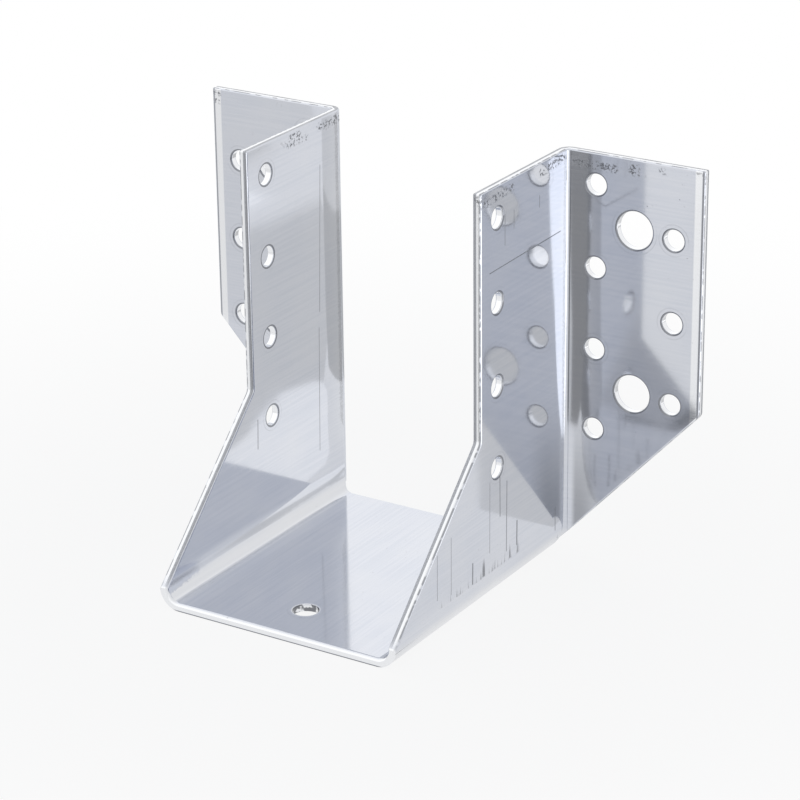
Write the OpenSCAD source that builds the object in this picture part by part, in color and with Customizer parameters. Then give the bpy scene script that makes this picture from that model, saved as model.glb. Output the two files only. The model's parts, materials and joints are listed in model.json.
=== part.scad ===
// Joist hanger with two outward header flanges, folded from one steel sheet.
// +X runs across the joist, the joist comes in from -Y and butts against the header,
// whose face lies against the flanges' rear faces at +Y. +Z is up.
// The origin is on the seat's underside, midway across and midway front to back.

/* [Sheet] */
// Thickness of the sheet
sheet_t = 2; // [1:0.5:3]
// Inside radius of the bends between the seat and the side walls
bend_r = 3; // [1:0.5:4]
// Inside radius of the folds between the side walls and the flanges
fold_r = 1; // [0.5:0.5:3]
// Radius at the corners of the cut outline where an edge starts to slope
corner_r = 2; // [0.5:0.5:4]

/* [Channel] */
// Clear width between the side walls, which is the joist's width
joist_w = 60; // [40:1:140]
// Height from the seat's underside to the top edges
hanger_h = 100; // [90:1:200]
// Depth from the flanges' rear faces to the seat's front edge
seat_d = 78; // [60:1:120]
// Depth of the side walls along their top edge
wall_top_d = 41; // [24:1:56]
// Height at which the side walls' front edge starts to slope forward
slope_top_z = 41; // [20:1:60]
// Distance from the seat's rear edge back to where the folds begin
seat_back_gap = 1.5; // [0.5:0.5:4]

/* [Header flanges] */
// Width of a flange, from the side wall's outer face to its outer edge
flange_w = 35; // [32:0.5:60]
// Height of a flange's upright outer edge, from the top edge down to its slope
flange_edge_h = 59; // [40:1:76]
// Height at which that slope meets the side wall's outer face
chamfer_foot_z = 3.5; // [3:0.5:12]

/* [Nail holes] */
// Diameter of the nail holes
nail_d = 5; // [3:0.5:6]
// Height between the nail holes of one column
nail_pitch = 20; // [12:1:24]
// Depth of the first row of nail holes below the top edge
nail_top_gap = 7.5; // [5:0.5:12]
// Nail holes in each side wall and in each flange's inner column
nail_rows = 4; // [2:1:4]
// Distance of the side wall's nail holes from its front edge
wall_nail_inset = 7.5; // [5:0.5:12]
// Distance of a flange's inner column from the side wall's outer face
inner_column_x = 7.5; // [7:0.5:9]
// Distance between neighbouring columns of holes on a flange
column_pitch = 10; // [9:0.5:12]

/* [Anchor holes] */
// Diameter of the large anchor holes
anchor_d = 9; // [6:0.5:10]
// Depth of the upper anchor holes below the top edge
anchor_top_gap = 16.8; // [10:0.1:24]
// Height between the two anchor holes of a flange
anchor_pitch = 40; // [20:1:48]

/* [Seat hole] */
// Diameter of the hole in the seat
seat_hole_d = 6; // [3:0.5:10]
// Distance of that hole from the seat's front edge
seat_hole_inset = 12.5; // [8:0.5:30]

/* [Hidden] */
$fn = 64;
steel = [0.78, 0.80, 0.84];
// Extra length that carries a cutter past both faces of what it cuts
past = 1;
// Length over which two solids of the sheet share the same metal where they join
lap = 1;
bend_out_r = bend_r + sheet_t;
fold_out_r = fold_r + sheet_t;
wall_in_x = joist_w / 2;
wall_out_x = wall_in_x + sheet_t;
flange_edge_x = wall_out_x + flange_w;
header_y = seat_d / 2;
seat_front_y = -seat_d / 2;
fold_y = header_y - fold_out_r;
seat_back_y = fold_y - seat_back_gap;
wall_front_y = header_y - wall_top_d;
chamfer_top_z = hanger_h - flange_edge_h;
nail_top_z = hanger_h - nail_top_gap;
outer_column_x = inner_column_x + 2 * column_pitch;
anchor_x = wall_out_x + inner_column_x + column_pitch;
anchor_top_z = hanger_h - anchor_top_gap;

function unit(v) = v / norm(v);

hanger();

// The whole folded sheet with its holes
module hanger() color(steel) difference() {
    union() {
        seat_and_walls();
        for (side = [0, 1]) mirror([side, 0, 0]) header_flange();
    }
    wall_nail_holes();
    for (side = [0, 1]) mirror([side, 0, 0]) flange_nail_holes();
    for (side = [0, 1]) mirror([side, 0, 0]) anchor_holes();
    seat_hole();
}

// The seat and both side walls, as one trough whose front edge slopes forward and down.
// Its rear edge slopes too, from the seat up to the lower end of each fold.
module seat_and_walls() intersection() {
    translate([0, fold_y, 0])
        rotate([90, 0, 0])
            linear_extrude(fold_y - seat_front_y)
                trough_section();
    rotate([90, 0, 90])
        linear_extrude(2 * wall_out_x + 2 * past, center = true)
            side_outline();
}

// Section of the trough across the joist: X to the right, Z up
module trough_section() difference() {
    rounded_trough(wall_out_x, bend_out_r, 0, hanger_h);
    rounded_trough(wall_in_x, bend_r, sheet_t, hanger_h + past);
}

// A filled trough, half_w to each side, with both lower corners rounded to the radius r
module rounded_trough(half_w, r, bottom_z, top_z) {
    for (side = [-1, 1])
        translate([side * (half_w - r), bottom_z + r])
            circle(r);
    translate([r - half_w, bottom_z])
        square([2 * (half_w - r), r]);
    translate([-half_w, bottom_z + r])
        square([2 * half_w, top_z - bottom_z - r]);
}

// Outline of seat and walls from the side: Y to the right, Z up
module side_outline() {
    slope_start = [wall_front_y, slope_top_z];
    slope_end = [seat_front_y, bend_out_r];
    top_corner = [wall_front_y, hanger_h];
    polygon([
        [seat_front_y, -past],
        slope_end,
        slope_start,
        top_corner,
        [fold_y, hanger_h],
        [fold_y, chamfer_foot_z],
        [seat_back_y, sheet_t],
        [seat_back_y, -past]
    ]);
    corner_wedge(slope_start, slope_end, top_corner);
}

// The small area between a corner's two edges and the arc that touches both.
// Cut off, it rounds an outer corner. Added, it fills an inner one.
// It starts a short way behind the corner, so that no crack is left along the edges.
module corner_wedge(corner, along_a, along_b) {
    a = unit(along_a - corner);
    b = unit(along_b - corner);
    half_angle = acos(a * b) / 2;
    touch = corner_r / tan(half_angle);
    centre = corner + unit(a + b) * corner_r / sin(half_angle);
    behind = corner - unit(a + b) * lap;
    difference() {
        polygon([behind, corner + touch * a, centre, corner + touch * b]);
        translate(centre) circle(corner_r);
    }
}

// The right flange with the fold that joins it to its side wall
module header_flange() intersection() {
    linear_extrude(hanger_h) flange_section();
    translate([0, header_y + past, 0])
        rotate([90, 0, 0])
            linear_extrude(fold_out_r + lap + 2 * past)
                flange_outline();
}

// Section of fold and flange from above: X to the right, Y to the header.
// Its end laps a short way into the side wall, so that the two join in full.
module flange_section() difference() {
    rounded_corner(wall_in_x, header_y, fold_out_r, flange_edge_x - wall_in_x, fold_out_r + lap);
    rounded_corner(wall_out_x, header_y - sheet_t, fold_r, flange_w + past, fold_r + lap + past);
}

// A filled rectangle, w wide and h deep, with its far left corner at x, y rounded to the radius r
module rounded_corner(x, y, r, w, h) {
    translate([x + r, y - r]) circle(r);
    translate([x + r, y - r]) square([w - r, r]);
    translate([x, y - h]) square([w, h - r]);
}

// Outline of the right flange and its fold from the front: X to the right, Z up
module flange_outline() {
    chamfer_start = [flange_edge_x, chamfer_top_z];
    chamfer_end = [wall_out_x, chamfer_foot_z];
    top_corner = [flange_edge_x, hanger_h];
    difference() {
        polygon([
            chamfer_end,
            [wall_in_x, chamfer_foot_z],
            [wall_in_x, hanger_h],
            top_corner,
            chamfer_start
        ]);
        corner_wedge(chamfer_start, chamfer_end, top_corner);
    }
}

// One column of nail holes in both side walls, near their front edges
module wall_nail_holes()
    for (row = [0 : nail_rows - 1])
        translate([0, wall_front_y + wall_nail_inset, nail_top_z - row * nail_pitch])
            rotate([0, 90, 0])
                cylinder(h = 2 * wall_out_x + 2 * past, d = nail_d, center = true);

// Two staggered columns of nail holes in the right flange
module flange_nail_holes() {
    for (row = [0 : nail_rows - 1])
        flange_hole(wall_out_x + inner_column_x, nail_top_z - row * nail_pitch, nail_d);
    for (row = [0 : nail_rows - 2])
        flange_hole(wall_out_x + outer_column_x, nail_top_z - (row + 0.5) * nail_pitch, nail_d);
}

// The two anchor holes of the right flange, between its nail columns
module anchor_holes()
    for (row = [0, 1])
        flange_hole(anchor_x, anchor_top_z - row * anchor_pitch, anchor_d);

// A round hole through the right flange
module flange_hole(x, z, d)
    translate([x, header_y + past, z])
        rotate([90, 0, 0])
            cylinder(h = sheet_t + 2 * past, d = d);

// The hole in the middle of the seat, near its front edge
module seat_hole()
    translate([0, seat_front_y + seat_hole_inset, -past])
        cylinder(h = sheet_t + 2 * past, d = seat_hole_d);
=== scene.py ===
import json
from math import cos, radians, sin

import bmesh
import bpy
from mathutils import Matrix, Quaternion, Vector


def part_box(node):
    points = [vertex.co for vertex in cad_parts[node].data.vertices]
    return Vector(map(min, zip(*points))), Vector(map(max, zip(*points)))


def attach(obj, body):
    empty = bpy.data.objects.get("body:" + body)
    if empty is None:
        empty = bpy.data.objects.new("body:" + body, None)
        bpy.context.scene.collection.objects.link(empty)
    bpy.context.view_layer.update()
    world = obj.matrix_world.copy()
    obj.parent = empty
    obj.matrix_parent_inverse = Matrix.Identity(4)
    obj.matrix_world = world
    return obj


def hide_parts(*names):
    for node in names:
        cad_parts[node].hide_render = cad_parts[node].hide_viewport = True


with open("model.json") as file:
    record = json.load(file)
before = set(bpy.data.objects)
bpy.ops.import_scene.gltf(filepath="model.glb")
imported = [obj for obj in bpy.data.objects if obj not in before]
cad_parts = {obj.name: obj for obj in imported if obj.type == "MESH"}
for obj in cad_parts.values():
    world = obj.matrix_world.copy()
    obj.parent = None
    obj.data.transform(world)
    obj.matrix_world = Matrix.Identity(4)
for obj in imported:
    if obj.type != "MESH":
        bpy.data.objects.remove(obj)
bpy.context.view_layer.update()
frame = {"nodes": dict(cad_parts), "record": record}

MM = 0.001
MOUNTS = {mount["name"]: mount for mount in frame["record"]["mounts"]}

# The folded sheet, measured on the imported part
SHEET_T = MOUNTS["joist_seat"]["pos_m"][2]
WALL_IN_X = MOUNTS["joist_side_right"]["pos_m"][0]
WALL_OUT_X = WALL_IN_X + SHEET_T
HEADER_Y = MOUNTS["header_face_right"]["pos_m"][1]
FLANGE_FRONT_Y = HEADER_Y - SHEET_T
SEAT_FRONT_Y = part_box("hanger")[0][1]
FLANGE_EDGE_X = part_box("hanger")[1][0]
TOP_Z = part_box("hanger")[1][2]

# Inside radii of the seat's bends and of the flanges' folds, and where those begin
BEND_R = 3.0 * MM
FOLD_R = 1.0 * MM
BEND_X = WALL_IN_X - BEND_R
BEND_Z = SHEET_T + BEND_R
FOLD_X = WALL_OUT_X + FOLD_R
FOLD_Y = FLANGE_FRONT_Y - FOLD_R

# How far the shears and the punch drew the sheet's surface in
PUNCH_SIDE_ROLL = 0.5 * MM
DIE_SIDE_ROLL = 0.2 * MM
SHEARED_ROLL = 0.35 * MM
UPRIGHT_ROLL = 0.7 * MM
SEAT_FRONT_ROLL = 0.9 * MM
SEAT_BOTTOM_ROLL = 0.2 * MM
LARGEST_ROLL = SEAT_FRONT_ROLL
ROLL_SEGMENTS = 4

# The rear lower corners, where a seat bend runs into the foot of a fold, keep sharp edges
CORNER_REACH = 1 * MM
CORNER_REACH_Y = 3 * MM

# Lengths and angles below which two things count as the same
WELD = 0.001 * MM
RIM_SLACK = 0.06 * MM
EDGE_SLACK = 0.1 * MM
FLAT_ANGLE = 0.002
SLIVER_ANGLE = radians(0.2)

# The least angle at an edge that gets rolled, and the least slope of a face that counts as leaning
SHARP_ANGLE = radians(30)
LEAN = 0.01

# Faces whose normals are less than 60 degrees apart are shaded as one: this is that angle's cosine
SMOOTH_COSINE = 0.5

# How far ahead of its true radius the sheet starts to sweep into a fold
INNER_FOLD_SWEEP = 8.5 * MM
OUTER_FOLD_SWEEP = 4.5 * MM
FLANGE_SWEEP = 9.0 * MM

# How strongly each of those turns: its height is this times the square of the run, all in metres
INNER_FOLD_TURN = -20.0
OUTER_FOLD_TURN = 30.0
FLANGE_TURN = 19.5

# Where the inner fold's sweep fades out above the seat
INNER_FOLD_FOOT_Z = (4.0 * MM, 22.0 * MM)

# The walls' sweep into the seat's bends: its height, how far up it reaches and where it ends at the back
BEND_SWEEP_RISE = 1.3 * MM
BEND_SWEEP_Z = (2.5 * MM, 9.0 * MM)
BEND_SWEEP_Y = (5.0 * MM, 33.0 * MM)

# Small unevenness of the sheet: how many waves go to a metre, and how high they are
WAVES_SCALE = 14.0
WAVES_HEIGHT = 0.05 * MM
RIBS_SCALE = 520.0
RIBS_HEIGHT = 0.03 * MM
RIBS_STRETCH = 0.1
GRAIN_SCALE = 9000.0
GRAIN_DETAIL = 3.0
GRAIN_HEIGHT = 0.0004 * MM
GRAIN_STRETCH = 0.02

# Tones of the zinc, from place to place
STREAKS_SCALE = 1500.0
EVEN_SHARE = (0.35, 0.65)
CLOUDS_SCALE = 60.0
CLOUDS_DETAIL = 3.0
CLOUDS_SHARE = (0.4, 0.7)
CLOUDS_STRENGTH = 0.5
BENT_STRENGTH = 0.5
ZINC_DARK = (0.605, 0.63, 0.69, 1)
ZINC_MID = (0.64, 0.66, 0.715, 1)
ZINC_LIGHT = (0.665, 0.68, 0.72, 1)
BENT_ZINC = (0.78, 0.78, 0.78, 1)
# Burnished metal, and also painted highlights on the flanges' edges, the seat's front face and the seat
# hole's rim
BURNISH_AND_HIGHLIGHT_ZINC = (0.85, 0.86, 0.88, 1)
SHADED_ZINC = (0.25, 0.26, 0.28, 1)
TORN_DARK = (0.26, 0.27, 0.29, 1)
TORN_LIGHT = (0.46, 0.47, 0.50, 1)
RIM_SHADE = (0.13, 0.135, 0.15, 1)
MARK_SHADE = (0.16, 0.165, 0.18, 1)
ROUGHNESS_SHARE = (0.3, 0.7)
SMOOTH_ROUGHNESS = 0.06
GRAINY_ROUGHNESS = 0.11
CUT_ROUGHNESS = 0.32
MARKED_ROUGHNESS = 0.5

# Bands along the sheet's cut edges, as shares of its thickness
TORN_BAND = (0.14, 0.42)
BURNISHED_BAND = (0.5, 0.8)
CUT_BAND_EASE = 0.06
DASHED_BAND = (0.8, 0.93)
DASHED_BAND_EASE = 0.03
BORE_BAND = (0.18, 0.82)
BORE_BAND_EASE = 0.08

# Rings around a hole, as distances from its rim
BORE_EASE = 0.2 * MM
RING = (0.05 * MM, 0.38 * MM)
RING_EASE = 0.08 * MM
HALO = (1.15 * MM, 1.25 * MM)
HALO_EASE = 0.15 * MM

# Where the seat ends, where its bends begin and end, and where the sheared bands begin
SEAT_TOP_Z = (2.0 * MM, 3.0 * MM)
BEND_TOP_Z = (6.0 * MM, 3.5 * MM)
BEND_START_X = (BEND_X, BEND_X + 1.5 * MM)
SHEARED_FOOT_Z = (4.0 * MM, 8.0 * MM)

# Fine speckle, and how much of it shows as rubbing and as pits
SPECKLE_SCALE = 1400.0
SPECKLE_ROUGHNESS = 0.6
RUBBED_SHARE = (0.5, 0.6)
PIT_SHARE = (0.73, 0.77)

# Patterns of specks: how many go to a metre, and the noise at which they start and are full
HALO_SPECKS = (110.0, 0.42, 0.6)
RUBBED_SPECKS = (160.0, 0.55, 0.66)
DASH_SPECKS = (500.0, 0.42, 0.5)
BORE_SPECKS = (700.0, 0.38, 0.5)

# How strongly each kind of mark shows
SCRATCH_STRENGTH = 0.75
# A painted shade line along the flanges' rolled outer edges
PAINTED_EDGE_SHADE_STRENGTH = 0.6
RUBBED_STRENGTH = 0.85
PIT_STRENGTH = 0.5
DRAG_STRENGTH = 0.75
DASH_STRENGTH = 0.6
HALO_STRENGTH = 0.12

# The share of a mark's width within which it is at its strongest
MARK_CORE = 0.4

# Where the top edges were rubbed dark, from one spot to another, in mm
RUBBED_WIDTH = 1.4 * MM
RUBBED_SPOTS = [
    ((34.0, 37, 97.2), (44.0, 37, 97.0)),
    ((32, 25.0, 97.6), (32, 33.0, 98.0)),
    ((32, 0.0, 97.2), (32, 12.0, 97.8)),
    ((-30, 28.0, 98.0), (-30, 37.0, 98.0)),
]

# Scribes and thin drag marks, from one spot of the sheet to another, and their width, in mm
SCRATCHES = [
    ((32, 2.0, 80.5), (32, 34.0, 81.0), 0.18),
    ((32, 8.7, 92.3), (32, 8.7, 85.2), 0.15),
    ((32, 12.7, 92.3), (32, 12.7, 88.0), 0.15),
    ((32, 24.2, 92.3), (32, 24.2, 89.6), 0.15),
    ((32, 32.6, 12.0), (32, 32.7, 6.2), 0.2),
    ((32, 6.6, 30.0), (32, 6.7, 20.0), 0.25),
    ((32, 9.8, 27.6), (32, 9.6, 10.0), 0.22),
    ((32, 14.5, 15.7), (32, 14.4, 9.8), 0.35),
    ((32, 2.1, 30.0), (32, 2.0, 12.5), 0.14),
    ((32, -5.6, 12.8), (32, -5.7, 7.8), 0.35),
    ((32, -15.0, 23.0), (32, -15.1, 9.0), 0.14),
    ((32, -21.0, 21.0), (32, -21.1, 10.0), 0.14),
    ((-30, -0.6, 33.4), (-30, -0.9, 26.1), 0.18),
    ((-30, 28.1, 88.6), (-30, 26.6, 52.0), 0.15),
    ((-30, 26.2, 48.0), (-30, 25.4, 16.2), 0.15),
]

# The drag marks that the folding die left: where along the walls, and how high they start and end
GALLING_Y = (-18.0 * MM, 14.0 * MM)
GALLING_FOOT_Z = 6.4 * MM
GALLING_FOOT_SPREAD = 1.5 * MM
GALLING_TOP_Z = 7.5 * MM
GALLING_TOP_SPREAD = 8.0 * MM
GALLING_FOOT_EASE = 0.5 * MM
GALLING_END_EASE = 3.0 * MM
GALLING_OUTSIDE_X = (WALL_OUT_X - 0.3 * MM, WALL_OUT_X - 0.2 * MM)
GALLING_SCALE = 900.0
GALLING_ROUGHNESS = 0.7
GALLING_SHARE = (0.46, 0.55)
GALLING_STRETCH = 0.02
GALLING_HEIGHT_SCALE = 420.0
GALLING_HEIGHT_ROUGHNESS = 0.6
GALLING_TALL_SHARE = (0.4, 0.8)

# The photograph's camera: a long lens, a little above the hanger and turned round to its right
CAMERA_AZIMUTH = radians(32.29)
CAMERA_ELEVATION = radians(22.12)
CAMERA_ROLL = radians(-0.69)
CAMERA_DISTANCE = 699.04 * MM
CAMERA_TARGET = Vector((5.62, 6.0, 43.57)) * MM
CAMERA_LENS = 136.2
CAMERA_NEAR = 10 * MM
CAMERA_FAR = 20.0

# The white room
ROOM_COLOUR = (0.9, 0.92, 0.95, 1)
ROOM_STRENGTH = 0.7
WINDOW_X = (-0.6, 0.4)
WINDOW_STRENGTH = 1.2
WHITE = (1, 1, 1, 1)
WHITE_STRENGTH = 1.0
FLOOR_SIZE = 6.0
FLOOR_COLOUR = (0.92, 0.92, 0.92, 1)
FLOOR_SHADED_R = (0.06, 0.30)
FLOOR_SHADED_SHARE = 0.85


class Nodes:
    """Short calls for the nodes of one material or of the world."""

    def __init__(self, tree):
        self.tree = tree
        tree.nodes.clear()

    def add(self, kind, inputs=None, **settings):
        node = self.tree.nodes.new(kind)
        for name, value in settings.items():
            setattr(node, name, value)
        for name, value in (inputs or {}).items():
            self.plug(node.inputs[name], value)
        return node

    def plug(self, socket, value):
        if isinstance(value, bpy.types.NodeSocket):
            self.tree.links.new(value, socket)
        else:
            socket.default_value = value

    def math(self, operation, a, b=0.0, clamp=False):
        node = self.add("ShaderNodeMath", {0: a, 1: b}, operation=operation, use_clamp=clamp)
        return node.outputs[0]

    def chain(self, operation, values):
        """The values joined by the operation, one after another."""
        result = values[0]
        for value in values[1:]:
            result = self.math(operation, result, value)
        return result

    def most(self, *values):
        """The largest of the values."""
        return self.chain("MAXIMUM", values)

    def product(self, *values):
        return self.chain("MULTIPLY", values)

    def total(self, *values):
        return self.chain("ADD", values)

    def limited(self, value, low, high):
        """The value, held between low and high."""
        return self.math("MINIMUM", self.math("MAXIMUM", value, low), high)

    def vector(self, x, y, z):
        return self.add("ShaderNodeCombineXYZ", {0: x, 1: y, 2: z}).outputs[0]

    def split(self, vector):
        """The vector's x, y and z."""
        return list(self.add("ShaderNodeSeparateXYZ", {0: vector}).outputs)

    def vector_math(self, operation, a, b=(0.0, 0.0, 0.0), output="Vector"):
        node = self.add("ShaderNodeVectorMath", {0: a, 1: b}, operation=operation)
        return node.outputs[output]

    def scaled(self, vector, factor):
        return self.add("ShaderNodeVectorMath", {0: vector, "Scale": factor}, operation="SCALE").outputs[0]

    def ramp(self, value, low, high, from_value=0.0, to_value=1.0):
        """Eases from from_value to to_value as value goes from low to high."""
        node = self.add(
            "ShaderNodeMapRange",
            {"Value": value, "From Min": low, "From Max": high, "To Min": from_value, "To Max": to_value},
            interpolation_type="SMOOTHSTEP",
        )
        return node.outputs[0]

    def fall(self, value, low, high):
        """Eases from 1 to 0 as value goes from low to high."""
        return self.ramp(value, low, high, 1.0, 0.0)

    def past(self, value, start, length):
        """How far value has gone beyond start, up to that length."""
        return self.limited(self.math("SUBTRACT", value, start), 0.0, length)

    def band(self, value, low, high, soft):
        """1 between low and high, easing to 0 over the length soft outside them."""
        return self.product(self.ramp(value, low - soft, low), self.fall(value, high, high + soft))

    def noise(self, vector, scale, detail=2.0, roughness=0.5):
        node = self.add(
            "ShaderNodeTexNoise",
            {"Vector": vector, "Scale": scale, "Detail": detail, "Roughness": roughness},
        )
        return node.outputs[0]

    def specks(self, vector, scale, start, full):
        """Scattered specks: 0 where a plain noise is below start, 1 where it is above full."""
        return self.ramp(self.noise(vector, scale, 1.0), start, full)

    def mix(self, factor, a, b):
        node = self.add("ShaderNodeMix", {"Factor": factor, "A": a, "B": b})
        return node.outputs["Result"]

    def mix_colour(self, factor, a, b):
        node = self.add("ShaderNodeMix", data_type="RGBA")
        self.plug(node.inputs["Factor"], factor)
        self.plug(node.inputs["A"], a)
        self.plug(node.inputs["B"], b)
        return node.outputs["Result"]

    def mix_shader(self, factor, a, b):
        return self.add("ShaderNodeMixShader", {0: factor, 1: a.outputs[0], 2: b.outputs[0]})

    def line(self, place, start, end, width):
        """1 on the straight line from start to end, given in mm, and 0 off it."""
        start = Vector(start) * MM
        run = Vector(end) * MM - start
        offset = self.vector_math("SUBTRACT", place, start)
        share = self.vector_math("DOT_PRODUCT", offset, run / run.length_squared, output="Value")
        nearest = self.scaled(run, self.limited(share, 0.0, 1.0))
        distance = self.vector_math("DISTANCE", offset, nearest, output="Value")
        return self.fall(distance, width * MARK_CORE, width)


def punched_holes():
    """Centre, axis and radius of every hole, from the record's bores and hole patterns."""
    holes = []
    for mount in MOUNTS.values():
        sizes = mount["dims"]
        centre = Vector(mount["pos_m"])
        axis = Vector(mount["axis"])
        if mount["kind"] == "bore":
            holes.append((centre, axis, sizes["r_mm"] * MM))
        if mount["kind"] == "bolt_pattern":
            across = Vector((1, 0, 0)) * sizes.get("spacing_x_mm", 0) * MM / 2
            up = Vector((0, 0, 1)) * sizes.get("spacing_y_mm", 0) * MM / 2
            spots = {tuple(centre + a * across + b * up) for a in (-1, 1) for b in (-1, 1)}
            holes.extend((Vector(spot), axis, sizes["hole_r_mm"] * MM) for spot in sorted(spots))
    return holes


def rim_of(edge, hole):
    """Whether the edge lies on the rim of that hole."""
    centre, axis, radius = hole
    for vert in edge.verts:
        offset = vert.co - centre
        along = offset.dot(axis)
        if abs(along) > SHEET_T or abs((offset - along * axis).length - radius) > RIM_SLACK:
            return False
    return True


def depth_in_sheet(spot):
    """0 on the side of the sheet that faces the joist and the header, 1 on its other side."""
    x = abs(spot.x)
    if spot.y > FOLD_Y and x > FOLD_X:
        return (HEADER_Y - spot.y) / SHEET_T
    if spot.y > FOLD_Y:
        reach = Vector((x - FOLD_X, spot.y - FOLD_Y)).length
        return (FOLD_R + SHEET_T - reach) / SHEET_T
    if spot.z > BEND_Z:
        return (x - WALL_IN_X) / SHEET_T
    if x > BEND_X:
        reach = Vector((x - BEND_X, spot.z - BEND_Z)).length
        return (reach - BEND_R) / SHEET_T
    return 1 - spot.z / SHEET_T


def bend_angle(edge):
    return edge.calc_face_angle() if edge.is_manifold else 0


def rule_lines(bm, holes):
    """Split the flats along lines through the holes' centres, in place of the long slivers that
    join the holes to the outline."""
    sliver = bm.edges.layers.int.new("sliver")
    for edge in bm.edges:
        edge[sliver] = bend_angle(edge) < SLIVER_ANGLE
    planes = set()
    for centre, axis, radius in holes:
        for direction in (Vector((1, 0, 0)), Vector((0, 1, 0)), Vector((0, 0, 1))):
            if abs(direction.dot(axis)) < 0.5:
                planes.add((round(centre.dot(direction), 7), tuple(direction)))
    for offset, direction in sorted(planes):
        geometry = bm.verts[:] + bm.edges[:] + bm.faces[:]
        plane = Vector(direction)
        bmesh.ops.bisect_plane(bm, geom=geometry, dist=WELD, plane_co=plane * offset, plane_no=plane)
    bmesh.ops.dissolve_edges(bm, edges=[e for e in bm.edges if e[sliver]], use_verts=False)


def at_rear_corner(spot):
    """Whether the spot lies where a seat bend runs into the foot of a fold."""
    low_at_fold = spot.y > FOLD_Y - CORNER_REACH_Y and spot.z < BEND_Z + CORNER_REACH
    return low_at_fold and BEND_X - CORNER_REACH < abs(spot.x) < FOLD_X + CORNER_REACH


def edge_roll(edge, holes):
    """How far the surface is drawn in along one sharp edge."""
    spot = (edge.verts[0].co + edge.verts[1].co) / 2
    depth = sum(depth_in_sheet(vert.co) for vert in edge.verts) / 2
    if at_rear_corner(spot):
        return 0
    if any(rim_of(edge, hole) for hole in holes):
        return PUNCH_SIDE_ROLL if depth > 0.5 else DIE_SIDE_ROLL
    if spot.y < SEAT_FRONT_Y + EDGE_SLACK and spot.z < BEND_Z:
        return SEAT_FRONT_ROLL if depth < 0.5 else SEAT_BOTTOM_ROLL
    across_x = abs(edge.verts[0].co.x - edge.verts[1].co.x)
    right_hand = (depth > 0.5) == (spot.x > 0)
    if across_x < EDGE_SLACK and spot.y < 0 and right_hand:
        return UPRIGHT_ROLL
    return SHEARED_ROLL


def rolled(bm, holes):
    """A mesh of the sheet in which every sharp edge is rounded by its own roll."""
    weight = bm.edges.layers.float.new("bevel_weight_edge")
    for edge in bm.edges:
        if bend_angle(edge) > SHARP_ANGLE:
            edge[weight] = edge_roll(edge, holes) / LARGEST_ROLL
    blank = bpy.data.meshes.new("blank")
    bm.to_mesh(blank)
    carrier = bpy.data.objects.new("blank", blank)
    bpy.context.scene.collection.objects.link(carrier)
    roll = carrier.modifiers.new("rolled edges", "BEVEL")
    roll.limit_method = "WEIGHT"
    roll.width = LARGEST_ROLL
    roll.segments = ROLL_SEGMENTS
    roll.profile = 0.5
    roll.use_clamp_overlap = False
    finished = carrier.evaluated_get(bpy.context.evaluated_depsgraph_get())
    mesh = bpy.data.meshes.new_from_object(finished)
    bpy.data.objects.remove(carrier)
    bpy.data.meshes.remove(blank)
    return mesh


def corner_normal(normal, around):
    """The shading normal of one face at a corner: the mean of the normals around it, by area.
    Faces that meet at a sharp angle are shaded apart, and so is an upright face from one that leans."""
    upright = abs(normal.z) < LEAN
    beside = [(other, weight) for other, weight in around if other.dot(normal) > SMOOTH_COSINE]
    near = [other * weight for other, weight in beside if not upright or abs(other.z) < LEAN]
    return sum(near, Vector()).normalized()


def shade_by_area(mesh):
    """Smooth shading in which the largest face at each corner sets the normal, so flats stay flat."""
    around = [[] for vert in mesh.vertices]
    for face in mesh.polygons:
        for index in face.vertices:
            around[index].append((face.normal.copy(), face.area ** 2))
    normals = [
        corner_normal(face.normal, around[index])
        for face in mesh.polygons
        for index in face.vertices
    ]
    mesh.shade_smooth()
    mesh.normals_split_custom_set(normals)


def folded_sheet():
    """The hanger's own sheet, with the soft edges that shears and punch leave."""
    bm = bmesh.new()
    bm.from_mesh(frame["nodes"]["hanger"].data)
    bmesh.ops.remove_doubles(bm, verts=bm.verts, dist=WELD)
    bmesh.ops.dissolve_limit(bm, angle_limit=FLAT_ANGLE, verts=bm.verts, edges=bm.edges)
    rule_lines(bm, punched_holes())
    mesh = rolled(bm, punched_holes())
    bm.free()
    mesh.name = "folded_sheet"
    depth = mesh.attributes.new("depth", "FLOAT", "POINT")
    for vert in mesh.vertices:
        depth.data[vert.index].value = depth_in_sheet(vert.co)
    shade_by_area(mesh)
    mesh.materials.append(bright_sheet())
    piece = bpy.data.objects.new("folded_sheet", mesh)
    bpy.context.scene.collection.objects.link(piece)
    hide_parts("hanger")
    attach(piece, "root")


def rim_distance(n, place):
    """How far a spot on the sheet is from the rim of the nearest hole."""
    nearest = 1.0
    for centre, axis, radius in punched_holes():
        reach = (radius ** 2 + (SHEET_T / 2) ** 2) ** 0.5
        gap = n.math("SUBTRACT", n.vector_math("DISTANCE", place, centre, output="Value"), reach)
        nearest = n.math("MINIMUM", gap, nearest)
    return nearest


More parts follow.
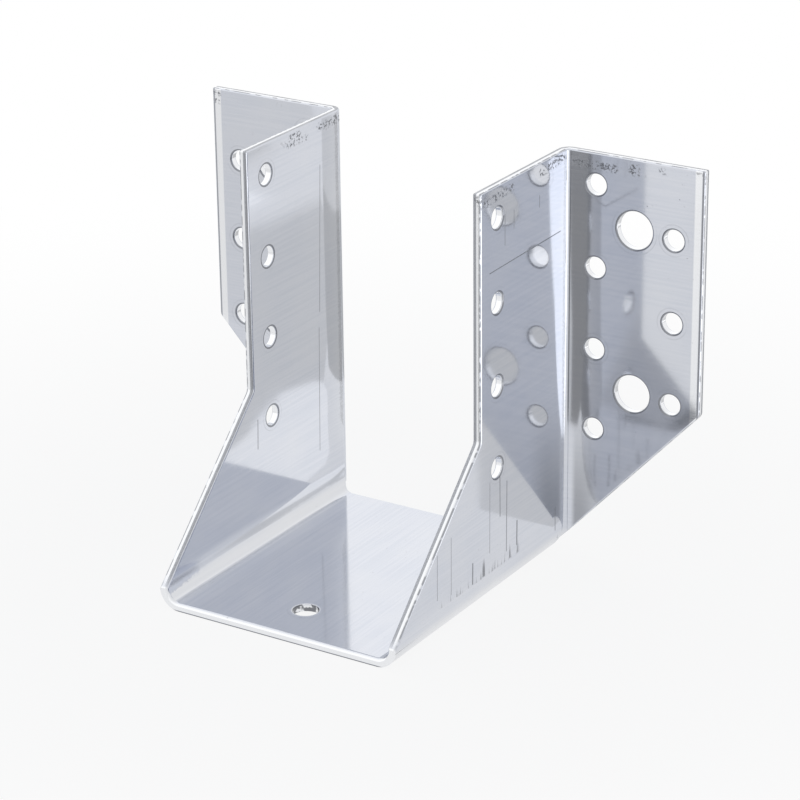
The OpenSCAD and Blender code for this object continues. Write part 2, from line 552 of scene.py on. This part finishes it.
class Spot:
    """One shaded spot of the sheet: its place, how deep in the sheet it lies and what it is part of."""

    def __init__(self, n):
        self.place = n.add("ShaderNodeTexCoord").outputs["Object"]
        self.x, self.y, self.z = n.split(self.place)
        self.side = n.math("ABSOLUTE", self.x)
        self.depth = n.add("ShaderNodeAttribute", attribute_name="depth").outputs["Fac"]
        normal_x, self.normal_y = n.split(n.add("ShaderNodeNewGeometry").outputs["Normal"])[:2]
        away = n.math("SUBTRACT", n.product(normal_x, n.math("SIGN", self.x)), self.normal_y)
        self.outward = n.limited(away, -1.0, 1.0)
        self.rim = rim_distance(n, self.place)
        self.bore = n.fall(self.rim, 0.0, BORE_EASE)
        self.ring = n.band(self.rim, *RING, RING_EASE)
        self.on_seat = n.fall(self.z, *SEAT_TOP_Z)
        self.in_bend = n.product(n.ramp(self.z, *BEND_TOP_Z), n.ramp(self.side, *BEND_START_X))
        self.sheared = n.product(n.ramp(self.z, *SHEARED_FOOT_Z), n.math("SUBTRACT", 1.0, self.bore))
        self.torn = n.product(n.band(self.depth, *TORN_BAND, CUT_BAND_EASE), self.sheared)
        self.burnished = n.product(n.band(self.depth, *BURNISHED_BAND, CUT_BAND_EASE), self.sheared)


def rolled_strip(n, spot):
    """Coordinates that stretch a noise along the way the sheet was rolled: through the walls and
    out over the flanges."""
    over = n.limited(spot.x, -WALL_OUT_X, WALL_OUT_X)
    along = n.math("ADD", spot.y, spot.side)
    return n.vector(over, n.product(along, GRAIN_STRETCH), spot.z)


def galling(n, spot):
    """Drag marks that the folding die left above the seat's bends, on the outside of the walls."""
    upward = n.vector(0.0, spot.y, n.product(spot.z, GALLING_STRETCH))
    along = n.vector(0.0, spot.y, 0.0)
    comb = n.noise(upward, GALLING_SCALE, roughness=GALLING_ROUGHNESS)
    height = n.noise(along, GALLING_HEIGHT_SCALE, roughness=GALLING_HEIGHT_ROUGHNESS)
    tall = n.ramp(height, *GALLING_TALL_SHARE)
    foot = n.math("ADD", n.product(height, GALLING_FOOT_SPREAD), GALLING_FOOT_Z)
    top = n.math("ADD", n.product(tall, GALLING_TOP_SPREAD), GALLING_TOP_Z)
    return n.product(
        n.ramp(comb, *GALLING_SHARE),
        n.ramp(n.math("SUBTRACT", spot.z, foot), 0.0, GALLING_FOOT_EASE),
        n.ramp(n.math("SUBTRACT", top, spot.z), 0.0, GALLING_END_EASE),
        n.band(spot.y, *GALLING_Y, GALLING_END_EASE),
        n.ramp(spot.side, *GALLING_OUTSIDE_X),
    )


def rubbed(n, spot, speckle):
    """Specks of dark rubbing along the top edges."""
    top_strip = (TOP_Z - 3.4 * MM, TOP_Z - 1.0 * MM)
    top_ease = 0.8 * MM
    patches = [n.line(spot.place, start, end, RUBBED_WIDTH) for start, end in RUBBED_SPOTS]
    loose = n.product(n.specks(spot.place, *RUBBED_SPECKS), n.band(spot.z, *top_strip, top_ease))
    return n.product(n.ramp(speckle, *RUBBED_SHARE), n.most(*patches, loose))


def surface_marks(n, spot):
    """How strongly each spot of the sheet is marked, scratched or stained, and where a painted shade line
    runs along each flange's outer edge.
    """
    flange_edge = (FLANGE_EDGE_X - 0.6 * MM, FLANGE_EDGE_X - 0.3 * MM)
    edge_ease = 0.1 * MM
    front_face = (0.8, 0.95)
    speckle = n.noise(spot.place, SPECKLE_SCALE, roughness=SPECKLE_ROUGHNESS)
    lines = [n.line(spot.place, start, end, width * MM) for start, end, width in SCRATCHES]
    # Painted shade along the rolled outer edge of each flange
    painted_edge_shade = n.product(n.band(spot.side, *flange_edge, edge_ease), n.ramp(spot.depth, *front_face))
    dashed = n.product(n.band(spot.depth, *DASHED_BAND, DASHED_BAND_EASE), spot.sheared)
    halo = n.band(spot.rim, *HALO, HALO_EASE)
    return n.most(
        n.product(n.most(*lines), SCRATCH_STRENGTH),
        n.product(painted_edge_shade, PAINTED_EDGE_SHADE_STRENGTH),
        n.product(rubbed(n, spot, speckle), RUBBED_STRENGTH),
        n.product(n.ramp(speckle, *PIT_SHARE), PIT_STRENGTH),
        n.product(galling(n, spot), DRAG_STRENGTH),
        n.product(dashed, n.specks(spot.place, *DASH_SPECKS), DASH_STRENGTH),
        n.product(halo, n.specks(spot.place, *HALO_SPECKS), HALO_STRENGTH),
    )


def low_flange(n, spot):
    """The lower part of each flange's front beside its fold, in the shade of the side wall."""
    turned_to_front = (-0.99, -0.95)
    behind_wall = (FOLD_Y - 2 * MM, FOLD_Y)
    off_fold = (FOLD_X + 0.6 * MM, FOLD_X + 2.2 * MM)
    beside_fold = (FOLD_X + 3 * MM, FOLD_X + 10 * MM)
    left_beside = 0.3
    low = (8 * MM, 42 * MM)
    deepest = 0.72
    return n.product(
        n.fall(spot.normal_y, *turned_to_front),
        n.ramp(spot.y, *behind_wall),
        n.ramp(spot.side, *off_fold),
        n.ramp(spot.side, *beside_fold, 1.0, left_beside),
        n.ramp(spot.z, *low, deepest, 0.0),
    )


def burnish_and_painted_highlights(n, spot):
    """Where the metal looks nearly white: burnish on cut edges, in bores and on the seat's front face, and
    painted highlights on the flanges' edges, the seat's front face and the seat hole's rim.
    """
    flange_edge = (FLANGE_EDGE_X - 2.2 * MM, FLANGE_EDGE_X - 0.9 * MM)
    edge_ease = 0.4 * MM
    front_face = (0.9, 1.0)
    lip_y = (SEAT_FRONT_Y + 0.1 * MM, SEAT_FRONT_Y + 0.6 * MM)
    lip_z = (0.3 * MM, 0.5 * MM)
    return n.most(
        spot.burnished,
        n.product(spot.bore, n.band(spot.depth, *BORE_BAND, BORE_BAND_EASE)),
        # Painted highlight beside each flange's outer edge
        n.product(n.band(spot.side, *flange_edge, edge_ease), n.ramp(spot.depth, *front_face)),
        # Burnish and a painted highlight on the seat's front face
        n.product(n.fall(spot.y, *lip_y), n.ramp(spot.z, *lip_z)),
        # Painted highlight round the seat hole's rim
        n.product(spot.ring, spot.on_seat),
    )


def dark_spots(n, spot):
    """The shade under the seat's front lip, around the holes and in the seat hole's rough bore."""
    lip_y = (SEAT_FRONT_Y + 0.1 * MM, SEAT_FRONT_Y + 0.3 * MM)
    lip_z = (0.2 * MM, 0.35 * MM)
    ring_strength = 0.75
    bore_strength = 0.9
    return n.most(
        n.product(spot.ring, n.math("SUBTRACT", ring_strength, spot.on_seat, clamp=True)),
        n.product(n.fall(spot.y, *lip_y), n.fall(spot.z, *lip_z)),
        n.product(spot.bore, spot.on_seat, n.specks(spot.place, *BORE_SPECKS), bore_strength),
    )


def sheet_tone(n, spot, strip, grain, marks):
    """The colour of the metal's mirror image."""
    streaks = n.noise(strip, STREAKS_SCALE)
    clouds = n.noise(spot.place, CLOUDS_SCALE, CLOUDS_DETAIL)
    tone = n.mix_colour(n.ramp(streaks, *EVEN_SHARE), ZINC_DARK, ZINC_MID)
    tone = n.mix_colour(n.ramp(clouds, *CLOUDS_SHARE, 0.0, CLOUDS_STRENGTH), tone, ZINC_LIGHT)
    torn_tone = n.mix_colour(n.ramp(grain, *EVEN_SHARE), TORN_DARK, TORN_LIGHT)
    tone = n.mix_colour(spot.torn, tone, torn_tone)
    tone = n.mix_colour(n.product(spot.in_bend, BENT_STRENGTH), tone, BENT_ZINC)
    tone = n.mix_colour(low_flange(n, spot), tone, SHADED_ZINC)
    # Burnish, with painted highlights on the flanges' edges, the seat's front face and the seat hole's rim
    tone = n.mix_colour(burnish_and_painted_highlights(n, spot), tone, BURNISH_AND_HIGHLIGHT_ZINC)
    tone = n.mix_colour(dark_spots(n, spot), tone, RIM_SHADE)
    return n.mix_colour(marks, tone, MARK_SHADE)


def fold_sweeps(n, spot):
    """The height of the sheet's surface as it sweeps into the upright folds."""
    inner_run = n.past(spot.y, FOLD_Y - INNER_FOLD_SWEEP, INNER_FOLD_SWEEP)
    outer_run = n.past(spot.y, FOLD_Y - OUTER_FOLD_SWEEP, OUTER_FOLD_SWEEP)
    flange_run = n.math("SUBTRACT", FLANGE_SWEEP, n.past(spot.side, FOLD_X, FLANGE_SWEEP))
    inner = n.math("MAXIMUM", n.product(spot.outward, -1.0), 0.0)
    outer = n.math("MAXIMUM", spot.outward, 0.0)
    above_foot = n.ramp(spot.z, *INNER_FOLD_FOOT_Z)
    return n.total(
        n.product(inner_run, inner_run, INNER_FOLD_TURN, inner, above_foot),
        n.product(outer_run, outer_run, OUTER_FOLD_TURN, outer),
        n.product(flange_run, flange_run, FLANGE_TURN, spot.outward),
    )


def bend_sweep(n, spot):
    """The height of the walls' surface as it sweeps down into the seat's bends."""
    inner = n.math("MAXIMUM", n.product(spot.outward, -1.0), 0.0)
    outer = n.math("MAXIMUM", spot.outward, 0.0)
    rise = n.ramp(spot.z, *BEND_SWEEP_Z, BEND_SWEEP_RISE, 0.0)
    reach = n.math("MAXIMUM", inner, n.fall(spot.y, *BEND_SWEEP_Y))
    return n.product(rise, n.math("SUBTRACT", inner, outer), reach)


def sheet_surface(n, spot, grain):
    """The sheet's surface normal, with its sweeps, long waves, ribs in the bends and grain."""
    waves = n.noise(spot.place, WAVES_SCALE, 1.0)
    ribs = n.noise(n.vector(0.0, spot.y, n.product(spot.z, RIBS_STRETCH)), RIBS_SCALE)
    height = n.total(
        fold_sweeps(n, spot),
        bend_sweep(n, spot),
        n.product(waves, WAVES_HEIGHT),
        n.product(ribs, spot.in_bend, RIBS_HEIGHT),
        n.product(grain, GRAIN_HEIGHT),
    )
    return n.add("ShaderNodeBump", {"Height": height, "Distance": 1.0}).outputs[0]


def bright_sheet():
    """Bright zinc-coated sheet: nearly a mirror, with a fine rolled grain along the folded strip."""
    material = bpy.data.materials.new("bright_sheet")
    material.use_nodes = True
    n = Nodes(material.node_tree)
    spot = Spot(n)
    strip = rolled_strip(n, spot)
    grain = n.noise(strip, GRAIN_SCALE, GRAIN_DETAIL)
    marks = surface_marks(n, spot)
    roughness = n.ramp(grain, *ROUGHNESS_SHARE, SMOOTH_ROUGHNESS, GRAINY_ROUGHNESS)
    roughness = n.mix(n.math("MAXIMUM", spot.torn, spot.burnished), roughness, CUT_ROUGHNESS)
    roughness = n.mix(marks, roughness, MARKED_ROUGHNESS)
    skin = n.add(
        "ShaderNodeBsdfPrincipled",
        {
            "Base Color": sheet_tone(n, spot, strip, grain, marks),
            "Metallic": 1.0,
            "Roughness": roughness,
            "Normal": sheet_surface(n, spot, grain),
        },
    )
    n.add("ShaderNodeOutputMaterial", {"Surface": skin.outputs[0]})
    return material


def seen_directly(n):
    """1 for what the camera sees straight, mirrored or through glass, and 0 for light that is scattered."""
    path = n.add("ShaderNodeLightPath").outputs
    return n.most(path["Is Camera Ray"], path["Is Glossy Ray"], path["Is Transmission Ray"])


def studio_world():
    """A white room, a little brighter on the left, where its window is."""
    world = bpy.data.worlds.new("studio")
    world.use_nodes = True
    n = Nodes(world.node_tree)
    direction = n.add("ShaderNodeTexCoord").outputs["Generated"]
    x = n.split(direction)[0]
    window = n.ramp(x, *WINDOW_X, WINDOW_STRENGTH, WHITE_STRENGTH)
    room = n.add("ShaderNodeBackground", {"Color": ROOM_COLOUR, "Strength": ROOM_STRENGTH})
    backdrop = n.add("ShaderNodeBackground", {"Color": WHITE, "Strength": window})
    mix = n.mix_shader(seen_directly(n), room, backdrop)
    n.add("ShaderNodeOutputWorld", {"Surface": mix.outputs[0]})
    bpy.context.scene.world = world


def staged(name, bm, material):
    """A stage object with that mesh and material, which is no part of the hanger."""
    mesh = bpy.data.meshes.new(name)
    bm.to_mesh(mesh)
    bm.free()
    mesh.materials.append(material)
    plane = bpy.data.objects.new(name, mesh)
    bpy.context.scene.collection.objects.link(plane)
    return plane


def white_floor():
    """White paint that takes the hanger's shadow, a little darker close to it."""
    material = bpy.data.materials.new("white_floor")
    material.use_nodes = True
    n = Nodes(material.node_tree)
    place = n.add("ShaderNodeTexCoord").outputs["Object"]
    distance = n.vector_math("LENGTH", place, output="Value")
    glow = n.ramp(distance, *FLOOR_SHADED_R, FLOOR_SHADED_SHARE, 1.0)
    paint = n.add("ShaderNodeBsdfDiffuse", {"Color": FLOOR_COLOUR})
    white = n.add("ShaderNodeEmission", {"Color": WHITE, "Strength": WHITE_STRENGTH})
    mix = n.mix_shader(n.product(seen_directly(n), glow), paint, white)
    n.add("ShaderNodeOutputMaterial", {"Surface": mix.outputs[0]})
    return material


def floor():
    bm = bmesh.new()
    bmesh.ops.create_grid(bm, x_segments=1, y_segments=1, size=FLOOR_SIZE)
    staged("floor", bm, white_floor())


def card_paper(name, strength):
    """Lit paper that fades out where the mesh's own cover goes to 0."""
    material = bpy.data.materials.new(name)
    material.use_nodes = True
    n = Nodes(material.node_tree)
    cover = n.add("ShaderNodeAttribute", attribute_name="cover").outputs["Fac"]
    clear = n.add("ShaderNodeBsdfTransparent")
    glow = n.add("ShaderNodeEmission", {"Color": WHITE, "Strength": strength})
    mix = n.mix_shader(n.ramp(cover, 0.0, 1.0), clear, glow)
    n.add("ShaderNodeOutputMaterial", {"Surface": mix.outputs[0]})
    return material


def card(name, strength, corners, soft, lift=0.4):
    """A card with soft edges, laid on the floor, that only the bright metal mirrors. Lengths are in mm."""
    bm = bmesh.new()
    verts = [bm.verts.new(Vector((x, y, lift)) * MM) for x, y in corners]
    inner = bm.faces.new(verts)
    cover = bm.verts.layers.float.new("cover")
    bmesh.ops.inset_individual(bm, faces=[inner], thickness=soft * MM, use_even_offset=True)
    for vert in inner.verts:
        vert[cover] = 1.0
    plane = staged(name, bm, card_paper(name, strength))
    plane.visible_camera = False
    plane.visible_diffuse = False
    plane.visible_shadow = False


def cards_behind():
    """Cards beyond the header, which the left wall mirrors, and the right wall through the holes; a grey
    one lies where the hanger's shadow falls, as a painted shadow.
    """
    card("white_card_far_behind", 1.3, [(120, 185), (162, 185), (162, 222), (120, 222)], soft=2)
    low_strip = [(-20, 25), (8, 30), (12, 54), (17, 67), (21, 83), (18, 95), (2, 95), (-14, 60)]
    card("white_card_behind", 1.1, low_strip, soft=2, lift=0.8)
    # A grey card where the hanger's own shadow falls on the floor behind it: a painted shadow that only the
    # metal mirrors
    shadow_zone = [(9, 45), (60, 45), (125, 150), (106, 197), (102, 235), (16, 235), (16, 90)]
    card("shadow_card_behind", 0.76, shadow_zone, soft=2)
    through_holes = [(66, 85), (92, 92), (125, 150), (118, 168), (98, 160), (72, 118)]
    card("grey_card_right", 0.67, through_holes, soft=2, lift=0.8)
    card("grey_card_far_behind", 0.66, [(150, 225), (195, 225), (195, 270), (150, 270)], soft=2)
    rear_strip = [(-60, 108), (5, 114), (30, 156), (82, 258), (-60, 258)]
    card("dark_card_behind", 0.6, rear_strip, soft=4, lift=0.8)
    card("dim_card_behind", 0.8, [(-60, 255), (82, 255), (130, 360), (-60, 360)], soft=4, lift=1.2)


def cards_in_front():
    """Cards on the camera's side, which the flanges mirror, and the right wall by way of its flange."""
    card("white_card_right", 2.0, [(97, 40), (291, -170), (450, -30), (263, 182)], soft=45)
    card("grey_card_left", 0.87, [(-300, -260), (-110, -260), (-110, -50), (-300, -50)], soft=20)
    by_fold = [
        (36, -40), (28, -62), (17, -88), (2, -112), (-8, -133), (-50, -215), (-60, -300),
        (126, -300), (106, -235), (68, -125), (58, -40),
    ]
    card("dark_card_front", 0.33, by_fold, soft=5)
    beside_it = [
        (44, -40), (52, -110), (84, -235), (100, -300),
        (166, -300), (136, -225), (93, -120), (68, -46),
    ]
    card("grey_card_front", 0.7, beside_it, soft=8, lift=0.8)


def camera():
    lens = bpy.data.cameras.new("camera")
    lens.lens = CAMERA_LENS
    lens.clip_start = CAMERA_NEAR
    lens.clip_end = CAMERA_FAR
    view = bpy.data.objects.new("camera", lens)
    a, e = CAMERA_AZIMUTH, CAMERA_ELEVATION
    back = Vector((sin(a) * cos(e), -cos(a) * cos(e), sin(e)))
    view.location = CAMERA_TARGET + back * CAMERA_DISTANCE
    view.rotation_mode = "QUATERNION"
    view.rotation_quaternion = Quaternion(back, CAMERA_ROLL) @ (-back).to_track_quat("-Z", "Y")
    bpy.context.scene.collection.objects.link(view)
    bpy.context.scene.camera = view


def main():
    camera()
    folded_sheet()
    studio_world()
    floor()
    cards_behind()
    cards_in_front()
    bpy.context.scene.view_settings.view_transform = "Standard"


main()
